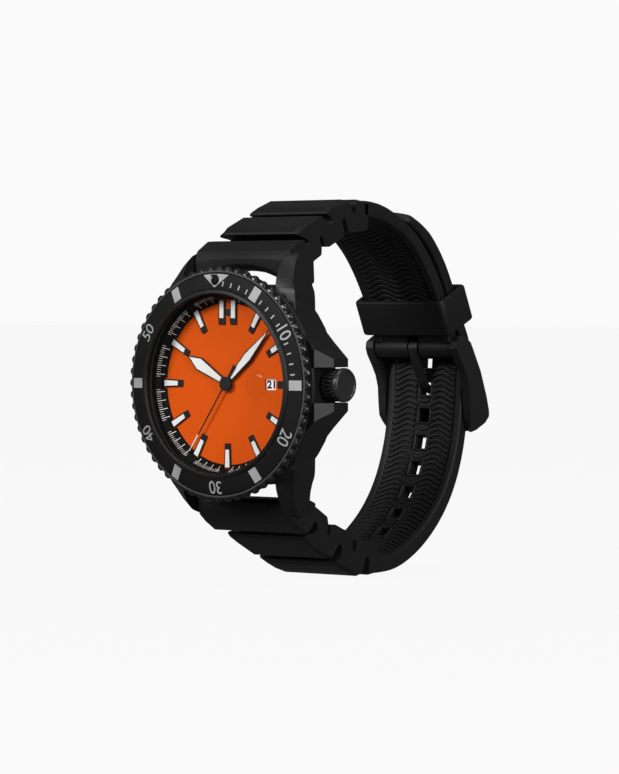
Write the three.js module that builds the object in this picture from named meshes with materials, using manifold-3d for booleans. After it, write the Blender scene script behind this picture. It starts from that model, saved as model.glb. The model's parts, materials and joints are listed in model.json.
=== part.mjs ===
// Dive watch, buckled into a loop. Millimetres, +Z towards 12 o'clock, the dial faces -Y,
// the crown (3 o'clock) is on +X. The origin is the middle of the case back's flat face.
import * as THREE from 'three'
import { mergeVertices } from 'three/addons/utils/BufferGeometryUtils.js'
import Module from 'manifold-3d'

const wasm = await Module()
wasm.setup()

// ---- driving dimensions ----
const bezelRadius = 21
const bezelTeeth = 60
const toothDepth = 0.42
const bezelBottom = 9.45
const bezelTop = 11.5
const neckRadius = 17.5
const insertInner = 16.98
const insertOuter = 19.74
const insertTop = 11.58
const insertCrest = 12.12
const crystalRadius = 16.7
const crystalBottom = 10
const crystalTop = 12.05
const pipReach = 18.5
const caseRadius = 20.2
const caseBottom = 0.9
const shoulder = 9.1
const boreRadius = 15.9
const dialTop = 8.25
const dialRadius = 16.4
const dateAt = 9.6
const lugInner = 11
const lugReach = 23.6
const lugGapFlat = 17.7
const barReach = 21.8
const barHeight = 2.9
const barRadius = 0.75
const stemHeight = 4.1
const crownRadius = 2.95
const crownEnd = 23.7
const guardGap = 3.12
const guardReach = 22.3
const trainDistance = 5.4
const trainAngle = 135
const motionDistance = 3.2
const motionAngle = 250
const hourAngle = 298.5
const minuteAngle = 45.8
const secondAngle = 214.6
const rimHeight = 11.6
const strapHalfWidth = 9.1
const tailHalfWidth = 8.85
const strapTipHalfWidth = 9.1
const shoulderHalfWidth = 10.85
const endThickness = 2.4
const tailThickness = 2.3
const buckleBarY = 59.3 - rimHeight
const buckleBarZ = 5.9
const buckleInner = 9.3
const buckleOuter = 11
const keeperHalfWidth = 10.5
const keeperHalfLength = 3.5
const holePitch = 5.15
const round = 48

// ---- shared shapes ----
const rad = (degrees) => degrees * Math.PI / 180

// Joins equal corners, drops empty faces and turns the surface outwards.
function solid(geometry) {
  const bare = geometry.clone()
  bare.deleteAttribute('normal')
  bare.deleteAttribute('uv')
  const merged = mergeVertices(bare, 1e-5)
  const at = merged.attributes.position.array
  const old = merged.index.array
  const a = new THREE.Vector3()
  const b = new THREE.Vector3()
  const c = new THREE.Vector3()
  const faces = []
  let volume = 0
  for (let i = 0; i < old.length; i += 3) {
    const [p, q, r] = [old[i], old[i + 1], old[i + 2]]
    if (p === q || q === r || r === p) continue
    faces.push(p, q, r)
    a.fromArray(at, p * 3)
    b.fromArray(at, q * 3)
    c.fromArray(at, r * 3)
    volume += a.dot(b.cross(c))
  }
  if (volume < 0) {
    for (let i = 0; i < faces.length; i += 3) {
      const swap = faces[i]
      faces[i] = faces[i + 1]
      faces[i + 1] = swap
    }
  }
  const mesh = new wasm.Mesh({
    numProp: 3,
    vertProperties: new Float32Array(at),
    triVerts: new Uint32Array(faces),
  })
  return new wasm.Manifold(mesh)
}

function surface(body) {
  const mesh = body.getMesh()
  const geometry = new THREE.BufferGeometry()
  geometry.setAttribute('position', new THREE.BufferAttribute(new Float32Array(mesh.vertProperties), 3))
  geometry.setIndex(new THREE.BufferAttribute(new Uint32Array(mesh.triVerts), 1))
  return geometry
}

const join = (...bodies) => bodies.reduce((all, body) => all.add(body))
const cut = (body, ...tools) => tools.reduce((left, tool) => left.subtract(tool), body)

// A turned body about local z from [radius, height] corners.
function turned(corners, steps = round) {
  const points = corners.map(([r, z]) => new THREE.Vector2(r, z))
  if (corners[0][0] > 0) points.push(points[0].clone())
  return new THREE.LatheGeometry(points, steps).rotateX(Math.PI / 2)
}

function ring(inner, outer, low, high, steps = round) {
  return turned([[inner, low], [outer, low], [outer, high], [inner, high]], steps)
}

function disc(radius, low, high, steps = 32) {
  return turned([[0, low], [radius, low], [radius, high], [0, high]], steps)
}

function box(x0, x1, y0, y1, z0, z1) {
  const geometry = new THREE.BoxGeometry(x1 - x0, y1 - y0, z1 - z0)
  return geometry.translate((x0 + x1) / 2, (y0 + y1) / 2, (z0 + z1) / 2)
}

// A flat shape from [x, y] corners, thickened from low to high along z.
function plate(corners, low, high, holes = []) {
  const shape = new THREE.Shape(corners.map(([x, y]) => new THREE.Vector2(x, y)))
  for (const hole of holes) {
    shape.holes.push(new THREE.Path(hole.map(([x, y]) => new THREE.Vector2(x, y))))
  }
  const geometry = new THREE.ExtrudeGeometry(shape, { depth: high - low, bevelEnabled: false })
  return geometry.translate(0, 0, low)
}

// A side outline of [y, z] corners, thickened across x.
function across(corners, from, to) {
  const turn = new THREE.Matrix4().makeBasis(
    new THREE.Vector3(0, 1, 0), new THREE.Vector3(0, 0, 1), new THREE.Vector3(1, 0, 0))
  return plate(corners, from, to).applyMatrix4(turn)
}

function circle(radius, steps, x = 0, y = 0) {
  const corners = []
  for (let i = 0; i < steps; i += 1) {
    const angle = 2 * Math.PI * i / steps
    corners.push([x + radius * Math.cos(angle), y + radius * Math.sin(angle)])
  }
  return corners
}

// Toothed outline; tooth 0 points along the given angle.
function toothed(count, module, angle) {
  const root = module * (count / 2 - 1.15)
  const tip = module * (count / 2 + 0.75)
  const pitch = 2 * Math.PI / count
  const corners = []
  for (let i = 0; i < count; i += 1) {
    const middle = angle + i * pitch
    const spots = count < 20 ? [[-0.12, tip], [0.12, tip], [0.5, root]] : [[0, tip], [0.5, root]]
    for (const [share, radius] of spots) {
      corners.push([radius * Math.cos(middle + share * pitch), radius * Math.sin(middle + share * pitch)])
    }
  }
  return corners
}

// A body skinned over matching rings of points.
function skin(rings) {
  const count = rings[0].length
  const position = []
  const index = []
  for (const points of rings) {
    for (const point of points) position.push(...point)
  }
  for (let i = 0; i + 1 < rings.length; i += 1) {
    for (let k = 0; k < count; k += 1) {
      const a = i * count + k
      const b = i * count + (k + 1) % count
      index.push(a, b, b + count, a, b + count, a + count)
    }
  }
  const last = (rings.length - 1) * count
  for (let k = 1; k + 1 < count; k += 1) {
    index.push(0, k + 1, k)
    index.push(last, last + k, last + k + 1)
  }
  const geometry = new THREE.BufferGeometry()
  geometry.setAttribute('position', new THREE.Float32BufferAttribute(position, 3))
  geometry.setIndex(index)
  return geometry
}

function paint(color, roughness, metalness = 0) {
  return new THREE.MeshStandardMaterial({ color, roughness, metalness })
}

function piece(name, shape, material) {
  const geometry = shape.isBufferGeometry ? shape : surface(shape)
  const mesh = new THREE.Mesh(geometry, material)
  mesh.name = name
  return mesh
}

// ---- finishes ----
const blackSteel = () => paint(0x1b1b1d, 0.38, 0.9)
const satinBlack = () => paint(0x151517, 0.5, 0.7)
const steel = () => paint(0xb4b6b8, 0.35, 1)
const brass = () => paint(0xc0a062, 0.35, 1)
const rubber = () => paint(0x131314, 0.75, 0)
const sealRubber = () => paint(0x0e0e0e, 0.8, 0)
const clear = () => paint(0xdfe8ea, 0.03)
const insertBlack = () => paint(0x121214, 0.6, 0.2)

// ---- case ----
// Rows of sizes with smooth in-between rows added.
function eased(rows, steps) {
  const column = (k) => new THREE.SplineCurve(rows.map((row) => new THREE.Vector2(row[k], 0)))
  const curves = rows[0].map((_, k) => column(k))
  const count = (rows.length - 1) * steps
  return Array.from({ length: count + 1 }, (_, i) => curves.map((curve) => curve.getPoint(i / count).x))
}

// One lug: sections along its reach give outer width, back, outer front and inner front heights.
function lug(side, end) {
  const sections = [
    [9, 15.4, 1.9, 8.2, 8.6], [15.5, 15.2, 1.7, 8, 8.6], [17.5, 14.4, 1.4, 7.5, 8.4],
    [19.2, 13.7, 1.1, 6.6, 8], [21.4, 12.95, 0.5, 5.2, 6.9], [22.9, 12.4, 0.3, 3.7, 5.4],
    [lugReach, 12.1, 1.2, 2.4, 3.2],
  ]
  const rings = eased(sections, 5).map(([reach, wide, back, outerFront, innerFront]) => {
    const corners = [[lugInner, back], [wide - 0.6, back], [wide, back + 0.7], [wide, outerFront],
      [lugInner, innerFront]]
    return corners.map(([x, z]) => [x * side, reach * end, z])
  })
  return solid(skin(rings))
}

function crownGuard(end) {
  const corners = [[14, guardGap], [guardReach, guardGap], [guardReach, 4.6], [19.1, 7.6], [17.2, 9.6],
    [14, 9.6]]
  const block = solid(plate(corners.map(([x, y]) => [x, y * end]), 1.9, shoulder))
  const slope = [[20.4, shoulder], [guardReach, 5.9], [25, 5.9], [25, 12], [20.4, 12]]
  return cut(block, solid(plate(slope, -12, 12).rotateX(Math.PI / 2)))
}

function midCase() {
  const shell = solid(turned([
    [boreRadius, caseBottom], [18.4, caseBottom], [caseRadius, 2.4], [caseRadius, 8.65],
    [19.75, shoulder], [neckRadius, shoulder], [neckRadius, 9.45], [17.22, 9.5], [17.22, 10],
    [neckRadius, 10.05], [neckRadius, 10.6], [17, 10.6], [17, 9.98], [16.3, 9.98],
    [16.45, 9.7], [16.45, 7.75], [boreRadius, 7.7],
  ]))
  const bore = solid(disc(boreRadius, 0, 7.7, round))
  const bezelRoom = join(
    solid(disc(neckRadius, 0, shoulder, round)),
    solid(disc(bezelRadius + 0.3, shoulder, 12, round)),
  )
  const inside = solid(disc(boreRadius + 1, 0, 12, round))
  let body = shell
  for (const end of [-1, 1]) {
    for (const side of [-1, 1]) body = join(body, cut(lug(side, end), bezelRoom))
    body = join(body, cut(crownGuard(end), inside))
  }
  const gaps = [-1, 1].map((end) => {
    const [low, high] = end > 0 ? [lugGapFlat, 26] : [-26, -lugGapFlat]
    return solid(box(-lugInner, lugInner, low, high, 0, shoulder - 0.45))
  })
  const tubeHole = solid(disc(1.52, 15, 24, 24).rotateY(Math.PI / 2).translate(0, 0, stemHeight))
  const recess = solid(box(19.55, 24, -guardGap, guardGap, 0, shoulder - 0.45))
  const barHoles = [-1, 1].map((end) => {
    const hole = disc(0.5, -12.4, 12.4, 12).rotateY(Math.PI / 2)
    return solid(hole.translate(0, barReach * end, barHeight))
  })
  return cut(body, bore, ...gaps, tubeHole, recess, ...barHoles)
}

function caseBack() {
  const cover = solid(turned([
    [0, 0], [15.8, 0], [17.2, 0.5], [17.2, caseBottom - 0.02], [15.2, caseBottom - 0.02], [15.2, 1.7],
    [14.4, 1.7], [14.4, 1.1], [0, 1.1],
  ], 48))
  const notches = []
  for (let i = 0; i < 6; i += 1) {
    notches.push(solid(box(-0.9, 0.9, 16.2, 18, -1, 0.6).rotateZ(rad(60 * i + 30))))
  }
  return cut(cover, ...notches)
}

// ---- bezel ----
function bezelRing() {
  const corners = [
    [17.62, bezelBottom, 0], [20.55, bezelBottom, 0], [bezelRadius, 9.85, 1], [bezelRadius, 10.75, 1],
    [19.8, bezelTop, 0], [19.8, 11.1, 0], [16.98, 11.1, 0], [16.98, 10.75, 0], [17.62, 10.75, 0],
  ]
  const rings = []
  const steps = bezelTeeth * 2
  for (let i = 0; i < steps; i += 1) {
    const angle = 2 * Math.PI * i / steps
    const drop = i % 2 ? toothDepth : 0
    rings.push(corners.map(([r, z, deep]) => {
      const radius = r - drop * deep
      return [radius * Math.cos(angle), radius * Math.sin(angle), z]
    }))
  }
  const geometry = skin([...rings, rings[0]])
  const index = Array.from(geometry.index.array)
  geometry.setIndex(index.slice(0, index.length - (corners.length - 2) * 6))
  return solid(geometry)
}

function bezelInsert() {
  return turned([[insertInner, 11.12], [insertOuter, 11.12], [insertOuter, insertTop],
    [insertInner, insertCrest]])
}

function clickSpring() {
  const band = solid(ring(18.3, 19.3, shoulder + 0.02, shoulder + 0.17, 32))
  const gap = solid(box(-1.2, 1.2, -20, -17, shoulder - 1, shoulder + 1))
  return cut(band, gap)
}

// ---- dial side ----
function crystal() {
  return turned([[0, crystalBottom], [crystalRadius, crystalBottom], [crystalRadius, crystalTop - 0.3],
    [crystalRadius - 0.35, crystalTop], [0, crystalTop]])
}

function dialPlate() {
  const window = [[8.5, -0.98], [11, -0.98], [11, 0.98], [8.5, 0.98]]
  return plate(circle(dialRadius, round), dialTop - 0.4, dialTop, [circle(1, 24), window])
}

// The sloping ring around the dial, notched where each hour index runs under it.
function chapterRing() {
  const low = dialTop + 0.02
  const cone = solid(turned([[14.45, low], [16.38, low], [16.38, 9.6], [16.25, 9.9], [15.95, 9.9]], 72))
  const notches = []
  for (let hour = 1; hour <= 12; hour += 1) {
    const half = hour === 12 ? 2.3 : 0.95
    notches.push(solid(box(-half, half, 13, 15.15, low - 1, 9.3).rotateZ(rad(-30 * hour))))
  }
  return cut(cone, ...notches)
}

function hourIndex(hour) {
  const inner = hour === 3 ? 11.6 : 10.6
  const turn = rad(-30 * hour)
  if (hour !== 12) {
    const bar = plate([[-0.6, inner], [0.6, inner], [0.78, 15], [-0.78, 15]], dialTop, dialTop + 0.3)
    return bar.rotateZ(turn)
  }
  const low = dialTop
  const [left, right] = [-1.35, 1.35].map((x) => solid(box(x - 0.75, x + 0.75, inner, 15, low, low + 0.3)))
  return join(left, right, solid(box(-1, 1, 12.2, 13.4, low, low + 0.15)))
}

// A hand pointing at 12 from its right-hand edge points, turned clockwise to its angle.
function hand(corners, boss, low, high, hole, angle) {
  const outline = [...corners, ...corners.slice(1, -1).reverse().map(([x, y]) => [-x, y])]
  const blade = solid(plate(outline, low, high))
  const body = join(blade, solid(disc(boss, low, high, 24)))
  const bored = hole > 0 ? cut(body, solid(disc(hole, low - 1, high + 1, 24))) : body
  return bored.rotate([0, 0, -angle])
}

function hourHand() {
  const corners = [[0, -1.2], [0.5, -1], [0.62, 1.4], [1.27, 7.4], [0.12, 10.4], [0, 10.4]]
  return hand(corners, 1.2, 8.6, 8.74, 0.83, hourAngle)
}

function minuteHand() {
  const corners = [[0, -1.2], [0.45, -1], [0.5, 1.4], [1, 7], [0.1, 13.8], [0, 13.8]]
  return hand(corners, 1.2, 8.82, 8.96, 0.46, minuteAngle)
}

function secondHand() {
  const corners = [[0, -4], [0.35, -4], [0.22, -1], [0.14, 1], [0.09, 14.7], [0, 14.7]]
  return hand(corners, 1.3, 9.08, 9.24, 0, secondAngle)
}

function dateDisc() {
  const inside = []
  for (let i = 0; i < 31; i += 1) {
    const middle = 2 * Math.PI * i / 31
    const pitch = 2 * Math.PI / 31
    for (const [share, radius] of [[0, 7.9], [0.5, 8.3]]) {
      inside.push([radius * Math.cos(middle + share * pitch), radius * Math.sin(middle + share * pitch)])
    }
  }
  return plate(circle(11.6, 36), 7.5, 7.7, [inside])
}

// ---- movement ----
const trainAt = [trainDistance * Math.cos(rad(trainAngle)), trainDistance * Math.sin(rad(trainAngle))]
const motionAt = [motionDistance * Math.cos(rad(motionAngle)), motionDistance * Math.sin(rad(motionAngle))]

function centreWheel() {
  const wheel = solid(plate(toothed(64, 0.15, rad(trainAngle)), 4.9, 5.15))
  const cannon = solid(plate(toothed(10, 0.16, rad(motionAngle)), 6.55, 6.95))
  const tube = solid(disc(0.42, 4.75, 8.94, 16))
  return cut(join(wheel, cannon, tube), solid(disc(0.24, 4, 9.2, 16)))
}

function secondWheel() {
  const pinion = solid(plate(toothed(8, 0.1588, rad(trainAngle)), 3.85, 4.5))
  return join(pinion, solid(disc(0.16, 2.75, 9.05, 12)))
}

function thirdWheel() {
  const back = rad(trainAngle + 180)
  const pinion = solid(plate(toothed(8, 0.15, back + Math.PI / 8), 4.4, 5.4))
  const wheel = solid(plate(toothed(60, 0.1588, back + Math.PI / 60), 3.95, 4.2))
  return join(pinion, wheel, solid(disc(0.2, 2.75, 6, 12))).translate([...trainAt, 0])
}

function minuteWheel() {
  const back = rad(motionAngle + 180)
  const wheel = solid(plate(toothed(30, 0.16, back + Math.PI / 30), 6.6, 6.85))
  const pinion = solid(plate(toothed(8, 0.16, back), 6.8, 7.32))
  const body = cut(join(wheel, pinion), solid(disc(0.22, 6, 8, 12)))
  return body.translate([...motionAt, 0])
}

function hourWheel() {
  const wheel = solid(plate(toothed(32, 0.16, rad(motionAngle) + Math.PI / 32), 7.05, 7.3))
  return cut(join(wheel, solid(disc(0.8, 7.05, 8.72, 24))), solid(disc(0.5, 7, 9, 24)))
}

function mainPlate() {
  const base = plate(circle(13, 36), 5.6, 6.4, [circle(0.6, 16), circle(0.24, 12, ...trainAt)])
  const stud = solid(disc(0.18, 6.3, 7.38, 12).translate(...motionAt, 0))
  return join(solid(base), stud)
}

function trainBridge() {
  const posts = [[4.4, 4.4], [-5.8, -2.7]]
  const corners = [[4.6, 6], [6, 4.2], [-4.6, -4.1], [-7.2, -3.6], [-6, 4.6], [-4.4, 6.4]]
  const bar = plate(corners, 2.6, 3.2, [circle(0.2, 12), circle(0.24, 12, ...trainAt)])
  const pillars = posts.map(([x, y]) => solid(disc(0.8, 3, 5.58, 16).translate(x, y, 0)))
  return join(solid(bar), ...pillars)
}

function circuitBoard() {
  const corners = []
  for (let i = 0; i <= 8; i += 1) {
    const angle = rad(165 + 10 * i)
    corners.push([12.4 * Math.cos(angle), 12.4 * Math.sin(angle)])
  }
  for (let i = 8; i >= 0; i -= 1) {
    const angle = rad(165 + 10 * i)
    corners.push([8.4 * Math.cos(angle), 8.4 * Math.sin(angle)])
  }
  return plate(corners, 3.3, 3.6)
}

function coil() {
  const winding = solid(disc(1, -2.8, 2.8, 20))
  const core = solid(box(-0.45, 0.45, -0.45, 0.45, -4.2, 4.2))
  const ends = [[-4.2, -3.3], [3.3, 4.2]].map(([low, high]) => solid(box(-0.9, 0.9, -0.5, 0.5, low, high)))
  const body = join(winding, core, ...ends)
  return body.rotate([0, 90, 0]).rotate([0, 0, -33]).translate([7.2, 7.6, 3.6])
}

function movementRing() {
  const band = solid(ring(13.15, 15.75, 1.85, 7.8, 36))
  const stemWay = solid(disc(1.6, 12, 17, 16).rotateY(Math.PI / 2).translate(0, 0, stemHeight))
  return cut(band, stemWay)
}

// ---- crown ----
function crownBody() {
  const teeth = 20
  const corners = []
  for (let i = 0; i < teeth * 4; i += 1) {
    const angle = 2 * Math.PI * i / (teeth * 4)
    const radius = crownRadius - 0.05 - [0, 0.06, 0.34, 0.06][i % 4]
    corners.push([radius * Math.cos(angle), radius * Math.sin(angle)])
  }
  const grip = solid(plate(corners, 20.15, crownEnd - 0.55))
  const rim = solid(turned([[0, crownEnd - 0.6], [crownRadius, crownEnd - 0.6],
    [crownRadius, crownEnd - 0.3], [2.7, crownEnd], [2.4, crownEnd], [2.3, crownEnd - 0.25],
    [0, crownEnd - 0.25]], 28))
  const pocket = solid(disc(1.75, 19, 22, 20))
  const stem = solid(disc(0.45, 9.2, 22.8, 16))
  return join(cut(join(grip, rim), pocket), stem)
}

function clutchPinion() {
  const teeth = solid(plate(toothed(14, 0.16, 0), 9.6, 11.2))
  return cut(teeth, solid(disc(0.5, 9, 12, 16)))
}

// ---- strap ----
const side = (points) => points.map(([y, z]) => [y - rimHeight, z])

const shortInner = new THREE.CatmullRomCurve3([
  [28.6, 29.9], [32.9, 30.1], [36.3, 29.7], [39.6, 28.7], [43.8, 26.7], [47.2, 24], [50, 20.8],
  [52.1, 17.8], [53.8, 14.9], [55.2, 12], [56.3, 9.4], [57.2, 7],
].map(([y, z]) => new THREE.Vector3(0, y - rimHeight, z)), false, 'centripetal')

// Foot point, direction and outward normal at a share of a side curve's length.
function station(curve, share) {
  const foot = curve.getPointAt(share)
  const along = curve.getTangentAt(share)
  return { foot, along, out: new THREE.Vector3(0, -along.z, along.y) }
}

const shortThickness = (share) => Math.max(endThickness, 3.3 - 2.6 * share)

// The free end lies over the short strap and bows away from it a little between buckle and tip.
const lie = [
  [0.94, 1.2], [0.86, 1], [0.76, 1.05], [0.66, 1.15], [0.56, 1.05], [0.48, 0.8], [0.4, 0.45], [0.33, 0.25],
]
const overlap = lie.map(([share, gap]) => {
  const { foot, out } = station(shortInner, share)
  return foot.clone().addScaledVector(out, shortThickness(share) + gap)
})

const longInner = new THREE.CatmullRomCurve3([
  ...[[31.4, -31.9], [36, -32.1], [39.9, -31.8], [43.5, -30.7], [47.9, -28.4], [52.2, -25], [55.4, -21.3],
    [57.6, -17.6], [59.2, -13.6], [60.3, -9.4], [60.9, -5], [61.3, -0.5], [61.7, 3.2], [61.8, 6.2],
  ].map(([y, z]) => new THREE.Vector3(0, y - rimHeight, z)),
  ...overlap,
], false, 'centripetal')

const chamfer = 0.45

// A strap band between two shares of a curve; handed -1 where the outside is on the other side.
function band(curve, thickness, halfWidth, shares, handed) {
  const rings = shares.map((share) => {
    const { foot, out } = station(curve, share)
    const deep = thickness(share)
    const half = halfWidth(share)
    const flat = half - chamfer
    const ends = [[-half, chamfer], [-flat, 0], [flat, 0], [half, chamfer],
      [half, deep - chamfer], [flat, deep], [-flat, deep], [-half, deep - chamfer]]
    return ends.map(([x, lift]) => [x, foot.y + out.y * lift * handed, foot.z + out.z * lift * handed])
  })
  return solid(skin(rings))
}

function spread(from, to, count) {
  return Array.from({ length: count + 1 }, (_, i) => from + (to - from) * i / count)
}

function bellows(outline, shoulderOutline) {
  const core = solid(across(side(outline), -strapHalfWidth, strapHalfWidth))
  const wide = solid(across(side(shoulderOutline), -shoulderHalfWidth, shoulderHalfWidth))
  return join(core, wide)
}

function barTunnel(y, z, radius) {
  return solid(disc(radius, -13, 13, 20).rotateY(Math.PI / 2).translate(0, y, z))
}

function strapShort() {
  const outline = [
    [6.7, 21.4], [7.3, 20.6], [9.6, 20.2], [12.6, 20.4], [16.1, 21.8], [18.6, 23.1], [18.7, 24.3],
    [18.1, 26], [18.4, 26.6], [19, 26.4], [19.6, 24.6], [20.8, 24.6], [25, 26.4], [25.3, 27.1],
    [24.6, 29.4], [25, 29.9], [25.6, 29.6], [26.4, 27.2], [29.2, 27.5], [31.6, 27.8], [32.2, 28.4],
    [32.2, 33], [29.4, 33.4], [28.6, 32.8], [28.7, 31.2], [28.2, 30.6], [27.5, 30.9], [26.6, 33.1],
    [25.2, 33.3], [21.3, 31.9], [20.2, 31], [20.1, 30.5], [21.4, 30], [21.9, 29.2], [21.6, 28.5],
    [20.8, 28.6], [18.7, 30.1], [17.4, 30.1], [12.9, 28.2], [11.7, 27.2], [11.6, 26.7], [14.6, 25.9],
    [15.2, 25.3], [15.1, 24.7], [14.3, 24.6], [11.6, 25.8], [10.1, 25.6], [7.3, 23.9], [6.6, 22.6],
  ]
  const shoulders = [
    [6.7, 21.4], [7.3, 20.6], [9.6, 20.2], [12.6, 20.4], [14.6, 21.1], [14.3, 23.6], [11.6, 25.6],
    [10.1, 25.6], [7.3, 23.9], [6.6, 22.6],
  ]
  const strip = band(shortInner, shortThickness, () => strapHalfWidth, spread(0, 1, 20), 1)
  const knuckle = barTunnel(buckleBarY, buckleBarZ, 2).intersect(
    solid(box(-strapTipHalfWidth, strapTipHalfWidth, 30, 60, 0, 12)))
  const slot = solid(box(-1.35, 1.35, buckleBarY - 4, buckleBarY + 4, 2, buckleBarZ + 3))
  return cut(
    join(bellows(outline, shoulders), strip, knuckle),
    barTunnel(-barHeight, barReach, barRadius + 0.06),
    barTunnel(buckleBarY, buckleBarZ, 0.96),
    slot,
  )
}

function strapLong() {
  const outline = [
    [7, -21.3], [7.6, -20.6], [9.6, -20.3], [12.6, -20.5], [17.2, -22.4], [20.3, -24.2], [20.6, -25.6],
    [20.2, -26.9], [20.6, -27.6], [21.2, -27.5], [21.4, -25.7], [22.6, -25.7], [26.3, -27.2],
    [27.6, -28.1], [27.6, -30.6], [28.1, -31.2], [28.6, -30.9], [29, -28.7], [33.2, -29.4],
    [34.6, -29.7], [34.9, -30.3], [34.9, -35.2], [33, -35.5], [32.4, -34.8], [32.6, -32.4],
    [32, -32], [31.3, -32.4], [30.6, -35.3], [29.6, -35.5], [26.6, -34.6], [24.1, -33.5], [22.9, -32.6],
    [23, -32.2], [24.3, -31.6], [24.7, -30.2], [24.3, -29.4], [23.5, -29.5], [21.7, -31.6], [20.5, -31.8],
    [16.4, -29.5], [14.4, -28.3], [13.8, -27.5], [14.2, -27.2], [16.7, -26.9], [17.6, -26.1],
    [17.5, -25.4], [16.9, -25], [16, -25.2], [13, -26.7], [12, -26.9], [9.3, -25.2], [7.9, -24],
    [7.2, -22.6],
  ]
  const shoulders = [
    [7, -21.3], [7.6, -20.6], [9.6, -20.3], [12.6, -20.5], [15, -21.4], [15, -24.6], [13, -26.6],
    [12, -26.9], [9.3, -25.2], [7.9, -24], [7.2, -22.6],
  ]
  const thickness = (share) => Math.max(tailThickness, 3.2 - 1.4 * share) - Math.max(0, share - 0.9) * 9
  const shares = spread(0, 0.97, 36)
  const strip = band(longInner, thickness, () => tailHalfWidth, shares, -1)
  const tipWidth = (share) => tailHalfWidth - 5.4 * ((share - 0.97) / 0.03) ** 2
  const tip = band(longInner, thickness, tipWidth, [0.965, 0.97, 0.98, 0.99, 1], -1)
  const holes = holeShares().map((share) => {
    const { foot, along } = station(longInner, share)
    const tilt = Math.atan2(along.z, along.y)
    const hole = box(-1.3, 1.3, -1.4, 1.4, -6, 6).rotateX(tilt)
    return solid(hole.translate(0, foot.y, foot.z))
  })
  const tunnel = barTunnel(-barHeight, -barReach, barRadius + 0.06)
  return cut(join(bellows(outline, shoulders), strip, tip), tunnel, ...holes)
}

// Evenly spaced holes, one of them over the buckle tongue.
function holeShares() {
  const length = longInner.getLength()
  let nearest = 0
  let best = 1e9
  for (let i = 0; i <= 400; i += 1) {
    const point = longInner.getPointAt(i / 400)
    const away = Math.abs(point.z + 1.7) + (point.y < 30 ? 100 : 0)
    if (away < best) {
      best = away
      nearest = i / 400
    }
  }
  return [-6, -5, -4, -3, -2, -1, 0, 1].map((i) => nearest + i * holePitch / length)
}

function springBar(end) {
  const half = 10.9
  const bar = turned([[0, -12.1], [0.4, -12.1], [0.4, -half], [barRadius, -half], [barRadius, half],
    [0.4, half], [0.4, 12.1], [0, 12.1]], 16).rotateY(Math.PI / 2)
  return bar.translate(0, -barHeight, barReach * end)
}

function keeperAt() {
  return station(shortInner, 0.865)
}

function keeper() {
  const low = -0.35
  const high = endThickness + 1 + tailThickness + 0.45
  const wall = 1.1
  const half = keeperHalfWidth
  const flat = half - wall / 2
  const outer = [[-half, low - wall / 2], [-flat, low - wall], [flat, low - wall], [half, low - wall / 2],
    [half, high + wall / 2], [flat, high + wall], [-flat, high + wall], [-half, high + wall / 2]]
  const hole = half - wall
  const inner = [[-hole, low], [-hole, high], [hole, high], [hole, low]]
  const { foot, along, out } = keeperAt()
  const geometry = plate(outer, -keeperHalfLength, keeperHalfLength, [inner])
  geometry.applyMatrix4(new THREE.Matrix4().makeBasis(
    new THREE.Vector3(1, 0, 0), out, along))
  return solid(geometry.translate(0, foot.y, foot.z))
}

// ---- buckle ----
function buckleBar() {
  const pin = turned([[0, -10.6], [0.9, -10.6], [0.9, 10.6], [0, 10.6]], 20).rotateY(Math.PI / 2)
  return pin.translate(0, buckleBarY, buckleBarZ)
}

// A bent strip of even thickness about a line of [y, z] points.
function strip(points, thickness) {
  const left = []
  const right = []
  points.forEach(([y, z], i) => {
    const before = points[Math.max(i - 1, 0)]
    const after = points[Math.min(i + 1, points.length - 1)]
    const length = Math.hypot(after[0] - before[0], after[1] - before[1])
    const ny = (after[1] - before[1]) / length * thickness / 2
    const nz = (before[0] - after[0]) / length * thickness / 2
    left.push([y + ny, z + nz])
    right.unshift([y - ny, z - nz])
  })
  return [...left, ...right]
}

function buckleFrame() {
  const y = buckleBarY
  const z = buckleBarZ
  const arm = side([
    [59.6, 8.3], [58.2, 8.2], [57.2, 7.2], [57, 5.9], [57.5, 4.6], [58.9, 2.6], [60.1, 0.6], [60.8, -1.6],
    [61, -4.6], [61.3, -7.2], [62.2, -9.4], [63.2, -10], [64.6, -9.6], [66.4, -8.3], [67.1, -7.2],
    [67.1, -6], [66.3, -3.2], [64.4, 1.6], [62, 5.8], [60.9, 7.6],
  ])
  const whole = solid(across(arm, -buckleOuter, buckleOuter))
  const plan = [[-9.8, 9], [-buckleOuter, 7], [-buckleOuter, -6.9], [-10.6, -8.2], [-9.4, -10.4],
    [9.4, -10.4], [10.6, -8.2], [buckleOuter, -6.9], [buckleOuter, 7], [9.8, 9]]
  const outside = solid(plate(plan, -80, 0).rotateX(Math.PI / 2))
  const outer = 63.75 - rimHeight
  const above = solid(box(-buckleInner, buckleInner, y - 10, y + 20, z - 11.8, z + 10))
  const under = solid(box(-buckleInner, buckleInner, y - 10, outer, z - 20, z))
  const sockets = solid(disc(0.96, -10.66, 10.66, 20).rotateY(Math.PI / 2).translate(0, y, z))
  return cut(whole.intersect(outside), above, under, sockets)
}

function buckleTongue() {
  const y = buckleBarY
  const z = buckleBarZ
  const middle = side([
    [57.9, 4.9], [58.5, 3.6], [59.5, 1.6], [60.4, 0], [61.2, -1.15], [62.3, -1.85], [63.4, -2.4],
    [65.4, -3.1], [67.1, -4.2], [68.3, -6.4], [68.3, -8],
  ])
  const blade = solid(across(strip(middle, 0.7), -0.95, 0.95))
  const eye = solid(disc(1.95, -1, 1, 24).rotateY(Math.PI / 2).translate(0, y, z))
  const hole = solid(disc(0.96, -3, 3, 20).rotateY(Math.PI / 2).translate(0, y, z))
  return cut(join(blade, eye), hole)
}

// ---- assembly ----
const group = new THREE.Group()
group.name = 'dive_watch'

const head = new THREE.Group()
head.name = 'head'
head.rotation.x = Math.PI / 2
group.add(head)

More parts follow.
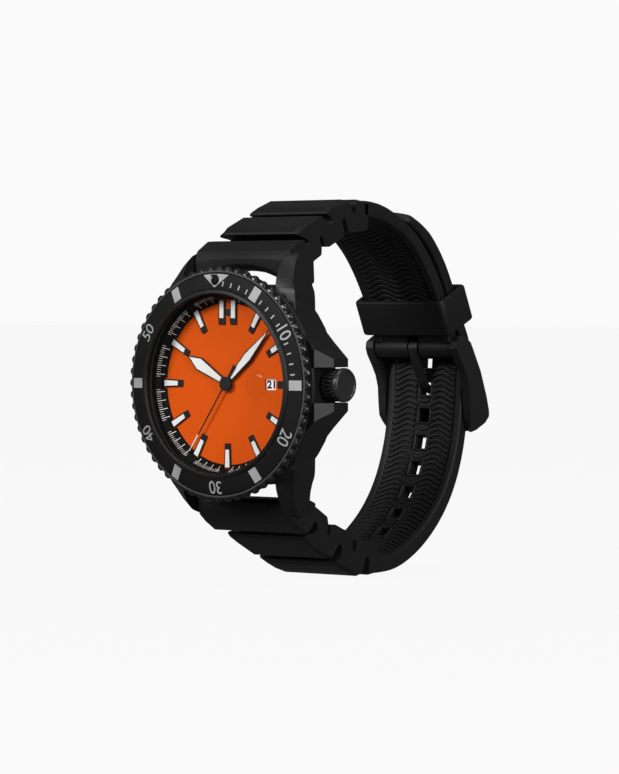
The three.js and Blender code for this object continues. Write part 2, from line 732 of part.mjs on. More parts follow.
head.add(piece('mid_case', midCase(), blackSteel()))
head.add(piece('case_back', caseBack(), steel()))
head.add(piece('case_back_gasket', ring(15.25, 15.82, 0.96, 1.5, 48), sealRubber()))
head.add(piece('bezel_ring', bezelRing(), blackSteel()))
head.add(piece('bezel_insert', bezelInsert(), insertBlack()))
head.add(piece('bezel_retaining_wire', ring(17.26, 17.57, 9.55, 9.95, 48), steel()))
head.add(piece('bezel_click_spring', clickSpring(), steel()))
const pip = piece('bezel_pip', turned([[0, 0], [0.95, 0], [0.7, 0.32], [0, 0.42]], 16), satinBlack())
const insertSlope = (insertCrest - insertTop) / (insertOuter - insertInner)
pip.position.set(0, pipReach, insertTop + insertSlope * (insertOuter - pipReach) + 0.03)
pip.rotation.x = -Math.atan(insertSlope)
head.add(pip)

head.add(piece('crystal', crystal(), clear()))
head.add(piece('crystal_gasket', ring(16.74, 16.96, crystalBottom, 10.5), sealRubber()))
const lensShape = turned([[0, 0], [2.6, 0], [2.45, 0.22], [1.6, 0.48], [0, 0.6]], 28)
const lens = piece('date_magnifier', lensShape, clear())
lens.position.set(dateAt, 0, crystalTop)
head.add(lens)
head.add(piece('chapter_ring', chapterRing(), paint(0x141416, 0.4, 0.3)))
head.add(piece('dial', dialPlate(), paint(0xd6530c, 0.45)))
for (let hour = 1; hour <= 12; hour += 1) {
  const name = 'hour_index_' + String(hour).padStart(2, '0')
  head.add(piece(name, hourIndex(hour), satinBlack()))
}
head.add(piece('hour_hand', hourHand(), satinBlack()))
head.add(piece('minute_hand', minuteHand(), satinBlack()))
head.add(piece('second_hand', secondHand(), satinBlack()))
head.add(piece('date_disc', dateDisc(), paint(0xf2f2ee, 0.6)))

head.add(piece('centre_wheel', centreWheel(), brass()))
head.add(piece('third_wheel', thirdWheel(), brass()))
head.add(piece('second_wheel', secondWheel(), brass()))
head.add(piece('minute_wheel', minuteWheel(), brass()))
head.add(piece('hour_wheel', hourWheel(), brass()))
head.add(piece('main_plate', mainPlate(), steel()))
head.add(piece('train_bridge', trainBridge(), steel()))
head.add(piece('circuit_board', circuitBoard(), paint(0x1f6b3f, 0.6)))
head.add(piece('coil', coil(), paint(0xb5642c, 0.4, 0.6)))
const cell = turned([[0, 2.3], [3.7, 2.3], [4.4, 2.6], [4.4, 4.3], [0, 4.3]], 32)
const battery = piece('battery', cell, steel())
battery.position.set(2.6, -8.1, 0)
head.add(battery)
head.add(piece('movement_ring', movementRing(), paint(0xd8d8d4, 0.6)))

const winding = new THREE.Group()
winding.name = 'winding'
winding.rotation.y = Math.PI / 2
winding.position.z = stemHeight
head.add(winding)
winding.add(piece('crown', crownBody(), blackSteel()))
winding.add(piece('crown_tube', ring(0.95, 1.5, 16.2, 21.2, 24), steel()))
winding.add(piece('crown_gasket', ring(0.48, 0.92, 18.4, 18.9, 20), sealRubber()))
winding.add(piece('clutch_pinion', clutchPinion(), steel()))

const strap = new THREE.Group()
strap.name = 'strap'
group.add(strap)
strap.add(piece('strap_short', strapShort(), rubber()))
strap.add(piece('strap_long', strapLong(), rubber()))
strap.add(piece('spring_bar_12', springBar(1), steel()))
strap.add(piece('spring_bar_6', springBar(-1), steel()))
strap.add(piece('keeper', keeper(), rubber()))
strap.add(piece('buckle_bar', buckleBar(), satinBlack()))
strap.add(piece('buckle_frame', buckleFrame(), satinBlack()))
strap.add(piece('buckle_tongue', buckleTongue(), satinBlack()))

export default group
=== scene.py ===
import json
import math
import bmesh
import bpy
import numpy as np
from mathutils import Matrix, Vector


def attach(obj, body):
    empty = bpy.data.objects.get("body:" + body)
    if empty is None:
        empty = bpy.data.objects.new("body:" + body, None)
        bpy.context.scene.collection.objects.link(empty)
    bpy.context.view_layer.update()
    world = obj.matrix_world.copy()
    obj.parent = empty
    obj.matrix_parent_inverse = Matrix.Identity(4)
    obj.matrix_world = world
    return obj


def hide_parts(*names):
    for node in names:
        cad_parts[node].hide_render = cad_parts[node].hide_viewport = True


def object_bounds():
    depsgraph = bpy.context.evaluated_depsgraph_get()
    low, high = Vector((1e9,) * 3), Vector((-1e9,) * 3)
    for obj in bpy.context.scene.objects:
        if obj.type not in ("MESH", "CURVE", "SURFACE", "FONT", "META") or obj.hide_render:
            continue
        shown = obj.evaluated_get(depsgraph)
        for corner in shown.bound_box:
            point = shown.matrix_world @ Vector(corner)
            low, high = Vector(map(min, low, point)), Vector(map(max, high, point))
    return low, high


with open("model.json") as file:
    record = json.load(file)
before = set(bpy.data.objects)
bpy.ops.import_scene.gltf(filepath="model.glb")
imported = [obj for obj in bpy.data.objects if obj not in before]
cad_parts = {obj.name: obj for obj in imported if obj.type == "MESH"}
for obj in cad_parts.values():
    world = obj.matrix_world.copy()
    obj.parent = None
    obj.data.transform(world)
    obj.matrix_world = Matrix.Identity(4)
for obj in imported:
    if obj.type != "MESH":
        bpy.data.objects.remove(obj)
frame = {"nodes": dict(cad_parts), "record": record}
cad_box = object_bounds()
MM = 0.001

# ---- driving sizes, millimetres. Dial coordinates: x to 3 o'clock, y to 12, z out of the dial ----
INSERT_IN, INSERT_OUT = 16.98, 19.74
INSERT_CREST, INSERT_RIM = 12.12, 11.58
BEZEL_TEETH = 60
KNURL_WALL, KNURL_FOOT, KNURL_FADE, KNURL_DEPTH, KNURL_SHAPE = 20.2, 10.1, 0.3, 0.66, 1.7
INK_SUNK, INK_PROUD = 0.05, 0.015
MARK_IN, MARK_OUT, MARK_HALF = 17.14, 19.6, 0.88
STROKE_IN, STROKE_OUT, STROKE_HALF = 17.5, 18.35, 0.13
PIP_ARC, PIP_SPREAD, PIP_POINT = 19.62, 8.6, 17.2
NUMERAL_HEIGHT, NUMERAL_MIDDLE = 2.3, 18.38
DIAL_TOP = 8.25
CONE_IN, CONE_OUT = (14.45, 8.27), (15.95, 9.9)
TICK_COUNT, TICK_OUT, MINUTE_TICK, QUARTER_TICK = 240, 15.82, (0.05, 14.8), (0.03, 15.35)
INDEX_CLEAR, TWELVE_CLEAR = 0.7, 6
INDEX_IN, INDEX_OUT, INDEX_THREE_IN = 11.75, 14.92, 12.9
TWELVE_SIDE, TWELVE_HALF = 1.35, 0.47
HAND_ROOT = 1.6
HOUR_LUME, MINUTE_LUME, SECOND_LUME = (8.72, 8.77), (8.94, 8.99), (9.22, 9.26)
DATE_INK = (7.69, 7.73)
HOUR_ANGLE, MINUTE_ANGLE, SECOND_ANGLE = 298.5, 45.8, 214.6

# Side outlines of the strap in [depth, height]: depth runs from the bezel's rim plane to the wrist.
RIM = 11.6
SHORT_INNER = [(28.6, 29.9), (32.9, 30.1), (36.3, 29.7), (39.6, 28.7), (43.8, 26.7), (47.2, 24), (50, 20.8),
               (52.1, 17.8), (53.8, 14.9), (55.2, 12), (56.3, 9.4), (57.2, 7)]
LONG_INNER = [(31.4, -31.9), (36, -32.1), (39.9, -31.8), (43.5, -30.7), (47.9, -28.4), (52.2, -25),
              (55.4, -21.3), (57.6, -17.6), (59.2, -13.6), (60.3, -9.4), (60.9, -5), (61.3, -0.5),
              (61.7, 3.2), (61.8, 6.2)]
# The long strap's tail on the short one: a share of the short strap's length and the gap there.
LIE = [(0.94, 1.2), (0.86, 1), (0.76, 1.05), (0.66, 1.15), (0.56, 1.05), (0.48, 0.8), (0.4, 0.45),
       (0.33, 0.25)]
STRAP_HALF, TAIL_HALF, SHOULDER_HALF = 9.1, 8.85, 10.85
END_THICK, TAIL_THICK = 2.4, 2.3
PANEL_HALF, RECESS = 7.2, 0.42
RIDGE_PITCH, RIDGE_HALF, WAVE_HEIGHT, WAVE_LENGTH = 1.07, 0.43, 0.6, 7.3
HOLE_PITCH, HOLE_HALF, HOLE_REACH = 5.15, 1.25, 1.25
BAR_DEPTH, BAR_HEIGHT = 59.3, 5.9
# Shares of a strap's length: where its band and its ridges start, and where the tail narrows.
SHORT_START, LONG_START, RIDGE_START, LONG_RIDGE_END, TAIL_START = 0.07, 0.022, 0.03, 0.62, 0.97
TAIL_PULL = 5.4
TONGUE_SLOT_HALF, KNUCKLE_RADIUS, KNUCKLE_ROUND = 1.35, 2, 0.25
USED_HOLE_HEIGHT = -1.7
RIB_ROUND = 0.45
FLAT_ANGLE = 1.5
DATE_MIDDLE, DATE_SHOWN, DATE_DAYS, DATE_HEIGHT, DATE_GLOW = 9.5, 21, 31, 1.45, 0.3
LENS_MIDDLE, LENS_RADIUS, LENS_FOOT, LENS_RISE = 9.6, 2.6, 12.06, 0.6
CROWN_RISE, CROWN_FLUTES, FLUTE_DEPTH, FLUTE_SHAPE = 4.1, 24, 0.34, 1.5
FLUTE_IN, FLUTE_END = 2.7, 22.4
CASE_WALL = 20.45
KEEPER_SHARE, KEEPER_HALF, KEEPER_REACH = 0.865, 10.5, 3.5
RIBS_TWELVE = [
    (8, 21.6), (8.6, 21.2), (12.6, 21), (16.1, 21.8), (18.6, 23.1), (18.7, 24.3), (18.1, 26), (18.4, 26.6),
    (19, 26.4), (19.6, 24.6), (20.8, 24.6), (25, 26.4), (25.3, 27.1), (24.6, 29.4), (25, 29.9), (25.6, 29.6),
    (26.4, 27.2), (29.2, 27.5), (31.6, 27.8), (32.2, 28.4), (32.2, 33), (29.4, 33.4), (28.6, 32.8),
    (28.7, 31.2), (28.2, 30.6), (27.5, 30.9), (26.6, 33.1), (25.2, 33.3), (21.3, 31.9), (20.2, 31),
    (20.1, 30.5), (21.4, 30), (21.9, 29.2), (21.6, 28.5), (20.8, 28.6), (18.7, 30.1), (17.4, 30.1),
    (12.9, 28.2), (11.7, 27.2), (11.6, 26.7), (14.6, 25.9), (15.2, 25.3), (15.1, 24.7), (14.3, 24.6),
    (11.6, 25.2), (10.1, 24.6), (8, 23.2)]
SHOULDERS_TWELVE = [(6.7, 21.4), (7.3, 20.6), (9.6, 20.2), (12.6, 20.4), (14.6, 21.1), (14.3, 23.6),
                    (11.6, 25.7), (10.1, 25.6), (7.3, 23.9), (6.6, 22.6)]
RIBS_SIX = [
    (8, -21.6), (9.6, -21), (12.6, -21), (17.2, -22.4), (20.3, -24.2), (20.6, -25.6), (20.2, -26.9),
    (20.6, -27.6), (21.2, -27.5), (21.4, -25.7), (22.6, -25.7), (26.3, -27.2), (27.6, -28.1), (27.6, -30.6),
    (28.1, -31.2), (28.6, -30.9), (29, -28.7), (33.2, -29.4), (34.6, -29.7), (34.9, -30.3), (34.9, -35.2),
    (33, -35.5), (32.4, -34.8), (32.6, -32.4), (32, -32), (31.3, -32.4), (30.6, -35.3), (29.6, -35.5),
    (26.6, -34.6), (24.1, -33.5), (22.9, -32.6), (23, -32.2), (24.3, -31.6), (24.7, -30.2), (24.3, -29.4),
    (23.5, -29.5), (21.7, -31.6), (20.5, -31.8), (16.4, -29.5), (14.4, -28.3), (13.8, -27.5), (14.2, -27.2),
    (16.7, -26.9), (17.6, -26.1), (17.5, -25.4), (16.9, -25), (16, -25.2), (13, -26.2), (12, -26.2),
    (9.6, -24.6), (8.4, -23.4)]
SHOULDERS_SIX = [(7, -21.3), (7.6, -20.6), (9.6, -20.3), (12.6, -20.5), (15, -21.4), (15, -24.6),
                 (13, -26.7), (12, -26.9), (9.3, -25.2), (7.9, -24), (7.2, -22.6)]
# Lines along the outside of the ribs, where their side corners are cut off.
CREST_TWELVE = [(4, 22.6), (10.6, 27.2), (17, 30.6), (25.5, 33.7), (32, 33.9), (38, 33)]
CREST_SIX = [(5, -22), (12.6, -28.2), (20, -32.2), (29, -35.7), (35, -36), (42, -34)]

# ---- shading, camera and studio ----
NOISE_ROUGHNESS, NOISE_LOW, NOISE_HIGH = 0.55, 0.3, 0.7
AZIMUTH, ELEVATION = 39.059, 1.223
CAMERA_SIDE, CAMERA_DROP, CAMERA_AWAY = 16.61, 0.5, 642.2
SENSOR, LENS, CLIP_NEAR = 36, 167.9, 0.01
WORLD_LIT, BACKDROP = 0.13, 0.955
FLOOR_GAP, FLOOR_HALF, FLOOR_BASE, FLOOR_GLOW = 0.0005, 8, 0.02, 0.925
LIGHT_AIM = (0, 0.015, 0)
# Each light's name, place and size in metres, and power in watts.
LIGHTS = [
    ("key", (-0.3, -0.85, 0.4), (0.35, 0.3), 7.6),
    ("side", (0.8, -0.2, 0.2), (0.25, 0.5), 6),
    ("top", (0.15, -0.1, 0.75), (0.5, 0.3), 1.6),
    ("low", (0.2, -0.75, -0.2), (0.4, 0.3), 0.7),
    ("glint", (0.45, -0.65, 0.45), (0.08, 0.08), 1.2),
]


# ---- materials ----
def tree(name):
    material = bpy.data.materials.new(name)
    material.use_nodes = True
    nodes = material.node_tree.nodes
    return material, nodes, material.node_tree.links, nodes["Principled BSDF"]


def noise(nodes, links, scale, detail, stretch=(1, 1, 1)):
    """A noise in object space; scale is features per metre."""
    place = nodes.new("ShaderNodeTexCoord")
    spread = nodes.new("ShaderNodeMapping")
    spread.inputs["Scale"].default_value = stretch
    links.new(place.outputs["Object"], spread.inputs["Vector"])
    pattern = nodes.new("ShaderNodeTexNoise")
    pattern.inputs["Scale"].default_value = scale
    pattern.inputs["Detail"].default_value = detail
    pattern.inputs["Roughness"].default_value = NOISE_ROUGHNESS
    links.new(spread.outputs["Vector"], pattern.inputs["Vector"])
    return pattern.outputs["Fac"]


def ranged(nodes, links, source, low, high):
    span = nodes.new("ShaderNodeMapRange")
    span.inputs["From Min"].default_value = NOISE_LOW
    span.inputs["From Max"].default_value = NOISE_HIGH
    span.inputs["To Min"].default_value = low
    span.inputs["To Max"].default_value = high
    links.new(source, span.inputs["Value"])
    return span.outputs["Result"]


def tinted(nodes, links, source, dark, light):
    ramp = nodes.new("ShaderNodeValToRGB")
    ramp.color_ramp.elements[0].position = NOISE_LOW
    ramp.color_ramp.elements[1].position = NOISE_HIGH
    ramp.color_ramp.elements[0].color = (*dark, 1)
    ramp.color_ramp.elements[1].color = (*light, 1)
    links.new(source, ramp.inputs["Fac"])
    return ramp.outputs["Color"]


def bumped(nodes, links, shader, source, strength, depth_mm):
    bump = nodes.new("ShaderNodeBump")
    bump.inputs["Strength"].default_value = strength
    bump.inputs["Distance"].default_value = depth_mm * MM
    links.new(source, bump.inputs["Height"])
    links.new(bump.outputs["Normal"], shader.inputs["Normal"])


def finish(name, dark, light, rough, metallic=0.0, specular=0.5, grain=2500, stretch=(1, 1, 1), bump=0.1,
           depth=0.02, blotch=180):
    """A painted, moulded or brushed finish: soft colour blotches, a grain in roughness and in bump."""
    material, nodes, links, shader = tree(name)
    shader.inputs["Metallic"].default_value = metallic
    shader.inputs["Specular IOR Level"].default_value = specular
    blotches = noise(nodes, links, blotch, 3)
    grains = noise(nodes, links, grain, 5, stretch)
    links.new(tinted(nodes, links, blotches, dark, light), shader.inputs["Base Color"])
    links.new(ranged(nodes, links, grains, rough[0], rough[1]), shader.inputs["Roughness"])
    bumped(nodes, links, shader, grains, bump, depth)
    return material


def grey(value):
    return (value, value, value * 1.03)


def clear_glass(name):
    """Clear glass: see-through with a mirror film that grows towards grazing angles."""
    material, nodes, links, shader = tree(name)
    nodes.remove(shader)
    through = nodes.new("ShaderNodeBsdfTransparent")
    through.inputs["Color"].default_value = (0.97, 0.975, 0.975, 1)
    gloss = nodes.new("ShaderNodeBsdfGlossy")
    edge = nodes.new("ShaderNodeFresnel")
    edge.inputs["IOR"].default_value = 1.22
    side = nodes.new("ShaderNodeNewGeometry")
    front = nodes.new("ShaderNodeMath")
    front.operation = "SUBTRACT"
    front.inputs[0].default_value = 1
    links.new(side.outputs["Backfacing"], front.inputs[1])
    film = nodes.new("ShaderNodeMath")
    film.operation = "MULTIPLY"
    links.new(edge.outputs["Fac"], film.inputs[0])
    links.new(front.outputs["Value"], film.inputs[1])
    smear = noise(nodes, links, 90, 3)
    links.new(ranged(nodes, links, smear, 0.015, 0.04), gloss.inputs["Roughness"])
    mix = nodes.new("ShaderNodeMixShader")
    links.new(film.outputs["Value"], mix.inputs["Fac"])
    links.new(through.outputs["BSDF"], mix.inputs[1])
    links.new(gloss.outputs["BSDF"], mix.inputs[2])
    links.new(mix.outputs["Shader"], nodes["Material Output"].inputs["Surface"])
    return material


FINISHES = {
    "coated_steel": dict(dark=grey(0.013), light=grey(0.016), rough=(0.4, 0.47), metallic=0.6,
                         specular=0.35, grain=3500, bump=0.04, depth=0.003),
    # A painted highlight: a lighter grey copy of the black coating, for the band of light the bezel's front
    # face reflects.
    "painted_highlight_grey": dict(dark=grey(0.042), light=grey(0.052), rough=(0.45, 0.55), metallic=0.3, specular=0.4,
                     grain=3500, bump=0.04, depth=0.003),
    "crown_black": dict(dark=grey(0.045), light=grey(0.055), rough=(0.26, 0.32), metallic=0.75,
                        grain=3500, bump=0.01, depth=0.002),
    "gloss_steel": dict(dark=grey(0.028), light=grey(0.036), rough=(0.16, 0.24), metallic=0.75,
                        grain=3500, bump=0.03, depth=0.004),
    "case_back_steel": dict(dark=grey(0.3), light=grey(0.42), rough=(0.28, 0.4), metallic=1,
                            stretch=(0.06, 1, 1), bump=0.15, depth=0.006),
    "bezel_inlay": dict(dark=grey(0.0055), light=grey(0.0075), rough=(0.5, 0.6), specular=0.1, grain=6000,
                        bump=0.04, depth=0.004),
    "bezel_marks": dict(dark=grey(0.28), light=grey(0.34), rough=(0.45, 0.6), specular=0.4, grain=5000,
                        bump=0.05, depth=0.005),
    "rim_black": dict(dark=grey(0.005), light=grey(0.007), rough=(0.34, 0.42), specular=0.25, grain=4000,
                      bump=0.02, depth=0.003),
    "black_trim": dict(dark=grey(0.004), light=grey(0.006), rough=(0.55, 0.65), specular=0.06, grain=4000,
                       bump=0.03, depth=0.004),
    "hands_black": dict(dark=grey(0.018), light=grey(0.026), rough=(0.3, 0.42), metallic=0.5, grain=6000,
                        stretch=(1, 1, 0.2), bump=0.08, depth=0.004),
    "lume": dict(dark=(0.86, 0.85, 0.82), light=(0.93, 0.92, 0.89), rough=(0.6, 0.75), specular=0.3,
                 grain=9000, bump=0.25, depth=0.01),
    "dial_orange": dict(dark=(0.75, 0.092, 0.002), light=(0.8, 0.101, 0.003), rough=(0.5, 0.6),
                        specular=0.08, grain=7000, bump=0.08, depth=0.006, blotch=60),
    "date_white": dict(dark=grey(0.78), light=grey(0.86), rough=(0.5, 0.6), specular=0.3, grain=6000,
                       bump=0.05, depth=0.004),
    "print_black": dict(dark=grey(0.004), light=grey(0.006), rough=(0.4, 0.5), specular=0.15, grain=6000,
                        bump=0.05, depth=0.004),
    "strap_rubber": dict(dark=(0.006, 0.006, 0.006), light=(0.0076, 0.0076, 0.0076), rough=(0.44, 0.56),
                         specular=0.18, grain=4200, bump=0.12, depth=0.008, blotch=120),
    "seal_rubber": dict(dark=grey(0.008), light=grey(0.012), rough=(0.6, 0.7), specular=0.3, grain=4000),
    "buckle_black": dict(dark=grey(0.013), light=grey(0.017), rough=(0.36, 0.46), metallic=0.5,
                         specular=0.4, grain=3500, depth=0.006),
    "steel": dict(dark=grey(0.36), light=grey(0.46), rough=(0.25, 0.38), metallic=1, grain=3000,
                  stretch=(0.1, 1, 1), bump=0.12, depth=0.005),
    "wheel_brass": dict(dark=(0.55, 0.38, 0.14), light=(0.66, 0.48, 0.2), rough=(0.25, 0.36), metallic=1,
                        grain=3000, depth=0.004),
    "coil_copper": dict(dark=(0.5, 0.2, 0.08), light=(0.6, 0.27, 0.12), rough=(0.3, 0.4), metallic=1,
                        grain=5000, stretch=(0.1, 1, 1), bump=0.3),
    "board_green": dict(dark=(0.015, 0.12, 0.045), light=(0.025, 0.18, 0.07), rough=(0.35, 0.5),
                        grain=3000),
    "movement_plastic": dict(dark=grey(0.6), light=grey(0.7), rough=(0.45, 0.6), specular=0.4,
                             grain=3000),
}
LOOK = {name: finish(name, **settings) for name, settings in FINISHES.items()}
LOOK["sapphire"] = clear_glass("sapphire")
# The date disc is lit a little by itself, as it lies in shadow under the dial.
date_shader = LOOK["date_white"].node_tree.nodes["Principled BSDF"]
date_shader.inputs["Emission Color"].default_value = (1, 1, 1, 1)
date_shader.inputs["Emission Strength"].default_value = DATE_GLOW

for entry in frame["record"]["subparts"]:
    data = frame["nodes"][entry["node"]].data
    data.materials.clear()
    data.materials.append(LOOK[entry["material_slot"]])


# ---- building pieces ----
def from_dial(points):
    """Dial coordinates in millimetres to the frame's metres."""
    return [(x * MM, -z * MM, y * MM) for x, y, z in points]


def add_piece(name, points, faces, body, look, stands_for=(), sharp=32):
    mesh = bpy.data.meshes.new(name)
    mesh.from_pydata(points, [], faces)
    mesh.update()
    work = bmesh.new()
    work.from_mesh(mesh)
    bmesh.ops.remove_doubles(work, verts=work.verts, dist=1e-7)
    bmesh.ops.recalc_face_normals(work, faces=work.faces)
    work.to_mesh(mesh)
    work.free()
    return settle(bpy.data.objects.new(name, mesh), body, look, stands_for, sharp)


def settle(piece, body, look, stands_for=(), sharp=32):
    """Links a piece, shades it smooth below the sharp angle and hands it to its CAD body."""
    bpy.context.scene.collection.objects.link(piece)
    piece.data.polygons.foreach_set("use_smooth", [True] * len(piece.data.polygons))
    piece.data.set_sharp_from_angle(angle=math.radians(sharp))
    piece.data.materials.clear()
    piece.data.materials.append(LOOK[look])
    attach(piece, body)
    if stands_for:
        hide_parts(*stands_for)
    return piece


def bevelled(piece, width_mm, segments=2, angle=30):
    edge = piece.modifiers.new("edges", "BEVEL")
    edge.width = width_mm * MM
    edge.segments = segments
    edge.limit_method = "ANGLE"
    edge.angle_limit = math.radians(angle)
    edge.harden_normals = True
    edge.use_clamp_overlap = True


def softened(node, body, look, width_mm, segments=2, angle=30):
    """A copy of a CAD node with its flat faces merged and its edges rounded."""
    mesh = frame["nodes"][node].data.copy()
    mesh.name = node + "_shape"
    work = bmesh.new()
    work.from_mesh(mesh)
    bmesh.ops.remove_doubles(work, verts=work.verts, dist=2e-6)
    bmesh.ops.dissolve_limit(work, angle_limit=math.radians(FLAT_ANGLE), verts=work.verts, edges=work.edges)
    work.to_mesh(mesh)
    work.free()
    piece = settle(bpy.data.objects.new(node + "_shape", mesh), body, look, (node,))
    bevelled(piece, width_mm, segments, angle)


def filleted(corners, radius, steps=4, closed=True):
    """Rounds a 2D outline's corners. A corner may give its own radius as a third number."""
    out = []
    count = len(corners)
    for i, corner in enumerate(corners):
        here = Vector(corner[:2])
        before = Vector(corners[i - 1][:2])
        after = Vector(corners[(i + 1) % count][:2])
        if not closed and i in (0, count - 1):
            out.append(tuple(here))
            continue
        size = corner[2] if len(corner) > 2 else radius
        to_before, to_after = before - here, after - here
        half = to_before.angle(to_after, math.pi) / 2
        reach = min(size / max(math.tan(half), 1e-3), to_before.length * 0.48, to_after.length * 0.48)
        if size <= 0 or half > math.radians(88):
            out.append(tuple(here))
            continue
        start = here + to_before.normalized() * reach
        end = here + to_after.normalized() * reach
        for k in range(steps + 1):
            t = k / steps
            out.append(tuple(start * (1 - t) ** 2 + here * 2 * t * (1 - t) + end * t ** 2))
    return out


def grid_faces(rows, columns, wrap_rows=True, wrap_columns=True):
    faces = []
    for i in range(rows if wrap_rows else rows - 1):
        for k in range(columns if wrap_columns else columns - 1):
            a, b = i * columns + k, i * columns + (k + 1) % columns
            c, d = ((i + 1) % rows) * columns + (k + 1) % columns, ((i + 1) % rows) * columns + k
            faces.append((a, b, c, d))
    return faces


def turned(name, profile, body, look, steps=180, stands_for=(), place=from_dial, shape=None):
    """A turned ring from a closed [radius, z] profile. shape(angle, r, z) may change the radius."""
    points = []
    for i in range(steps):
        angle = 2 * math.pi * i / steps
        for r, z in profile:
            reach = shape(angle, r, z) if shape else r
            points.append((reach * math.cos(angle), reach * math.sin(angle), z))
    return add_piece(name, place(points), grid_faces(steps, len(profile)), body, look, stands_for)


def slab_mesh(outline, low, high):
    """A thin closed plate over an outline; low and high are heights or functions of x, y."""
    low_at = low if callable(low) else lambda x, y: low
    high_at = high if callable(high) else lambda x, y: high
    count = len(outline)
    points = [(x, y, low_at(x, y)) for x, y in outline] + [(x, y, high_at(x, y)) for x, y in outline]
    faces = [tuple(reversed(range(count))), tuple(range(count, 2 * count))]
    faces += [(k, (k + 1) % count, count + (k + 1) % count, count + k) for k in range(count)]
    return points, faces


def joined(parts):
    points, faces = [], []
    for part_points, part_faces in parts:
        start = len(points)
        points += part_points
        faces += [tuple(start + k for k in face) for face in part_faces]
    return points, faces


def spun(outline, angle):
    """Turns an outline drawn at 12 o'clock clockwise by an angle in degrees."""
    c, s = math.cos(math.radians(angle)), math.sin(math.radians(angle))
    return [(x * c + y * s, -x * s + y * c) for x, y in outline]


def bar(half, inner, outer, tip=None, middle=0):
    """A straight or tapered stroke along the radius at 12 o'clock, from inner to outer."""
    tip = half if tip is None else tip
    return [(middle - half, inner), (middle + half, inner), (middle + tip, outer), (middle - tip, outer)]


def plates(name, outlines, low, high, body, look, slot):
    points, faces = joined([slab_mesh(outline, low, high) for outline in outlines])
    add_piece(name, from_dial(points), faces, body, look)


def lettering(text, height_mm, width_share=1.0, spacing=1.0, weight=0.0):
    """The text as a flat mesh centred on the origin, in millimetres, height_mm tall."""
    curve = bpy.data.curves.new("text", "FONT")
    curve.body = text
    curve.space_character = spacing
    curve.offset = weight
    curve.resolution_u = 6
    source = bpy.data.objects.new("text", curve)
    mesh = source.to_mesh()
    at = np.array([v.co[:2] for v in mesh.vertices])
    faces = [tuple(p.vertices) for p in mesh.polygons]
    source.to_mesh_clear()
    bpy.data.objects.remove(source)
    bpy.data.curves.remove(curve)
    low, high = at.min(0), at.max(0)
    at = (at - (low + high) / 2) * height_mm / (high[1] - low[1])
    at[:, 0] *= width_share
    return at, faces


def raised_text(at, faces, low, high):
    """A closed thin solid over flat lettering."""
    work = bmesh.new()
    verts = [work.verts.new((x, y, 0)) for x, y in at]
    for face in faces:
        try:
            work.faces.new([verts[k] for k in face])
        except ValueError:
            pass
    bmesh.ops.remove_doubles(work, verts=work.verts, dist=1e-4)
    bmesh.ops.recalc_face_normals(work, faces=work.faces)
    top = bmesh.ops.extrude_face_region(work, geom=list(work.faces))
    lifted = [v for v in top["geom"] if isinstance(v, bmesh.types.BMVert)]
    raised = set(lifted)
    work.verts.index_update()
    points = []
    for v in work.verts:
        x, y = v.co.x, v.co.y
        height = high if v in raised else low
        points.append((x, y, height(x, y) if callable(height) else height))
    out = [tuple(v.index for v in face.verts) for face in work.faces]
    work.free()
    return points, out


# ---- bezel ----
def insert_height(x, y):
    share = (math.hypot(x, y) - INSERT_IN) / (INSERT_OUT - INSERT_IN)
    return INSERT_CREST + (INSERT_RIM - INSERT_CREST) * share


def knurl(angle, r, z):
    """Scoops a rounded notch between teeth, deepest at the wall and fading over the front chamfer."""
    if r < KNURL_WALL or z < KNURL_FOOT:
        return r
    wave = 0.5 - 0.5 * math.cos(BEZEL_TEETH * angle)
    fade = min(1, (r - KNURL_WALL) / KNURL_FADE)
    return r - KNURL_DEPTH * wave ** KNURL_SHAPE * fade


def bezel():
    wall = filleted([(17.62, 9.45), (20.35, 9.45), (20.35, 10.05), (20.6, 10.15), (20.95, 10.3),
                     (21.02, 10.6), (21, 10.95), (20.86, 11.2), (20.64, 11.38), (20.4, 11.46),
                     (19.84, 11.5), (19.8, 11.15), (INSERT_IN, 11.1), (INSERT_IN, 10.75), (17.62, 10.75)],
                    0.08, 2)
    turned("bezel_ring_shape", wall, "bezel", "gloss_steel", BEZEL_TEETH * 14, ("bezel_ring",),
           shape=knurl)
    # A thin ring over the bezel's front face, lighter grey than the black coating: a painted highlight for
    # the band of light that face reflects.
    highlight_band = filleted([(19.86, 11.42), (20.2, 11.4), (20.24, 11.48), (20.18, 11.52), (19.9, 11.54)], 0.03, 2)
    turned("bezel_painted_highlight", highlight_band, "bezel", "painted_highlight_grey", 240)
    inlay = filleted([(INSERT_IN, 11.12, 0), (INSERT_OUT, 11.12, 0), (INSERT_OUT, INSERT_RIM),
                      (INSERT_IN, INSERT_CREST)], 0.06, 3)
    turned("bezel_insert_shape", inlay, "bezel", "bezel_inlay", 240, ("bezel_insert",))


def bezel_marks():
    low = lambda x, y: insert_height(x, y) - INK_SUNK
    high = lambda x, y: insert_height(x, y) + INK_PROUD
    outlines = []
    for minute in range(5, 60, 10):
        outlines.append(spun(bar(MARK_HALF, MARK_IN, MARK_OUT), minute * 6))
    for minute in range(1, 15):
        if minute % 5:
            outlines.append(spun(bar(STROKE_HALF, STROKE_IN, STROKE_OUT), minute * 6))
    angles = [math.radians(a) for a in np.linspace(-PIP_SPREAD, PIP_SPREAD, 13)]
    arc = [(PIP_ARC * math.sin(a), PIP_ARC * math.cos(a)) for a in angles]
    outlines.append(list(reversed(arc)) + [(0, PIP_POINT)])
    plates("bezel_scale", outlines, low, high, "bezel", "bezel_marks", "bezel_inlay")
    parts = []
    for value in (10, 20, 30, 40, 50):
        at, faces = lettering(str(value), NUMERAL_HEIGHT, 0.98, 0.95)
        placed = spun([(x, y + NUMERAL_MIDDLE) for x, y in at], value * 6)
        parts.append(raised_text(placed, faces, low, high))
    points, faces = joined(parts)
    add_piece("bezel_numerals", from_dial(points), faces, "bezel", "bezel_marks")


def bezel_pip():
    softened("bezel_pip", "bezel", "black_trim", 0.1, 3)


